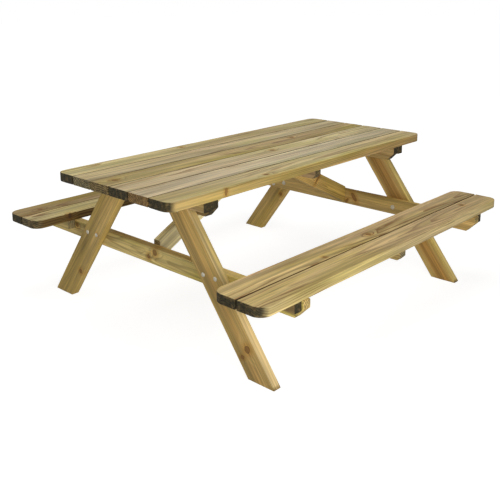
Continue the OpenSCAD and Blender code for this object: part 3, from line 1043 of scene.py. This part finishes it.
BOLT_COUNT = 12
bolt_seats = list(seats("frame_bolts", BOLT_COUNT))
bolts = [
    placed(bolt_part(reach), seat, way, BOLT_TURN * i)
    for i, (seat, way, reach) in enumerate(bolt_seats)]
washers = [placed(washer_part(), seat + GRIP * way, way, 0.0) for seat, way, _ in bolt_seats]
nuts = [
    placed(nut_part(), seat + (GRIP + WASHER_THICKNESS) * way, way, NUT_TURN * i)
    for i, (seat, way, _) in enumerate(bolt_seats)]
add_fasteners("frame_bolts", bolts, galvanised)
add_fasteners("frame_washers", washers, galvanised)
add_fasteners("frame_nuts", nuts, galvanised, 25)

# Each node of screws, how many solids it holds and the screws' diameter
SCREWS = (
    ("tabletop_screws", 36, 5 * MM), ("bench_screws", 24, 5 * MM),
    ("frame_screws", 16, 6 * MM), ("brace_screws", 6, 6 * MM),
)
for node, count, diameter in SCREWS:
    screws = [
        placed(screw_part(diameter / 2, reach), seat, way, SCREW_TURN * i)
        for i, (seat, way, reach) in enumerate(seats(node, count))]
    add_fasteners(node, screws, zinc_yellow)

# ---- studio ----

FLOOR_HALF = 30.0
FLOOR_GREYS = (0.62, 0.65)   # darkest and lightest speck of the floor
FLOOR_BOUNCE = 0.28          # soft light that the floor sends up to the undersides
FLOOR_GLOW = 0.88            # glow that the camera sees round the table, where 1 is white
GLOW_RANGE = (1.0, 4.0)      # distances from the middle where it starts and ends going white
WORLD_LIGHT = 0.04           # the world's brightness as a light
WORLD_SHINE = 0.6            # and in a reflection

CAMERA_TARGET = Vector((-0.058, 0.0, 0.667))
CAMERA_DISTANCE = 3.555
CAMERA_YAW = math.radians(43.22)
CAMERA_PITCH = math.radians(-13.14)
CAMERA_ROLL = math.radians(-0.48)
FOCAL_MM = 52.46
SENSOR_MM = 36.0
LENS_SHIFT = -0.18           # in sensor widths; below zero it moves the view down

# Name, place, the point it is turned to, size and power in watts
LIGHTS = (
    ("key", (-1.4, -2.6, 0.9), (-0.5, 0.0, 0.4), (1.2, 1.0), 29),
    ("side", (-2.4, -2.4, 1.5), (-0.5, 0.0, 0.4), (1.2, 1.0), 11),
    ("back", (-3.0, 3.5, 2.0), (0.0, 0.0, 0.5), (2.0, 2.0), 34),
    ("overhead", (0.0, 0.0, 4.0), (0.0, 0.0, 0.0), (3.0, 3.0), 66),
)


def add_floor():
    """A plain pale floor that fills the view and brightens to white away from the table."""
    mesh = bpy.data.meshes.new("floor")
    signs = ((-1, -1), (1, -1), (1, 1), (-1, 1))
    corners = [(FLOOR_HALF * x, FLOOR_HALF * y, 0.0) for x, y in signs]
    mesh.from_pydata(corners, [], [(0, 1, 2, 3)])
    floor = bpy.data.objects.new("floor", mesh)
    bpy.context.scene.collection.objects.link(floor)
    g = Graph("floor_paint")
    speck = g.noise(g.add("ShaderNodeTexCoord", {}).outputs["Object"], 60, 60)
    dark, light = (linear((grey,) * 3) for grey in FLOOR_GREYS)
    away = g.vector("LENGTH", g.add("ShaderNodeNewGeometry", {}).outputs["Position"])
    seen = g.add("ShaderNodeLightPath", {}).outputs["Is Camera Ray"]
    glow = g.times(seen, g.grey(g.step(away, *GLOW_RANGE), FLOOR_GLOW, 1.0))
    strength = g.math("MAXIMUM", glow, FLOOR_BOUNCE)
    matt = g.add("ShaderNodeBsdfDiffuse", {"Color": g.mix(speck, dark, light)}).outputs[0]
    glowing = g.add("ShaderNodeEmission", {"Strength": strength}).outputs[0]
    both = g.add("ShaderNodeAddShader", {0: matt, 1: glowing}).outputs[0]
    g.add("ShaderNodeOutputMaterial", {"Surface": both})
    mesh.materials.append(g.material)


def add_area_light(name, place, target, size, power):
    """A white rectangular light at a place, turned to a target."""
    data = bpy.data.lights.new(name, "AREA")
    data.shape = "RECTANGLE"
    data.size, data.size_y = size
    data.energy = power
    light = bpy.data.objects.new(name, data)
    light.location = place
    light.rotation_euler = (Vector(target) - Vector(place)).to_track_quat("-Z", "Y").to_euler()
    bpy.context.scene.collection.objects.link(light)


def add_world():
    """White to the camera, a soft reflection in metal and nearly dark as a light."""
    world = bpy.data.worlds.new("studio")
    world.use_nodes = True
    nodes, links = world.node_tree.nodes, world.node_tree.links
    background = nodes["Background"]
    path = nodes.new("ShaderNodeLightPath")
    shine = nodes.new("ShaderNodeMapRange")
    shine.inputs["To Min"].default_value = WORLD_LIGHT
    shine.inputs["To Max"].default_value = WORLD_SHINE
    brightest = nodes.new("ShaderNodeMath")
    brightest.operation = "MAXIMUM"
    links.new(path.outputs["Is Glossy Ray"], shine.inputs["Value"])
    links.new(shine.outputs[0], brightest.inputs[0])
    links.new(path.outputs["Is Camera Ray"], brightest.inputs[1])
    background.inputs["Color"].default_value = (1.0, 1.0, 1.0, 1.0)
    links.new(brightest.outputs[0], background.inputs["Strength"])
    bpy.context.scene.world = world


def add_camera():
    """A camera that looks down at the table from the left front, turned to the photo's view."""
    level = math.cos(CAMERA_PITCH)
    forward = Vector((
        level * math.cos(CAMERA_YAW), level * math.sin(CAMERA_YAW), math.sin(CAMERA_PITCH)))
    right = forward.cross(Vector((0, 0, 1))).normalized()
    up = right.cross(forward)
    rolled_right = math.cos(CAMERA_ROLL) * right + math.sin(CAMERA_ROLL) * up
    rolled_up = math.cos(CAMERA_ROLL) * up - math.sin(CAMERA_ROLL) * right
    data = bpy.data.cameras.new("camera")
    data.lens = FOCAL_MM
    data.sensor_width = SENSOR_MM
    data.shift_y = LENS_SHIFT
    camera = bpy.data.objects.new("camera", data)
    turned = Matrix((rolled_right, rolled_up, -forward)).transposed().to_4x4()
    camera.matrix_world = Matrix.Translation(CAMERA_TARGET - CAMERA_DISTANCE * forward) @ turned
    bpy.context.scene.collection.objects.link(camera)
    bpy.context.scene.camera = camera


add_floor()
add_world()
for light in LIGHTS:
    add_area_light(*light)
add_camera()
bpy.context.scene.view_settings.view_transform = "Standard"
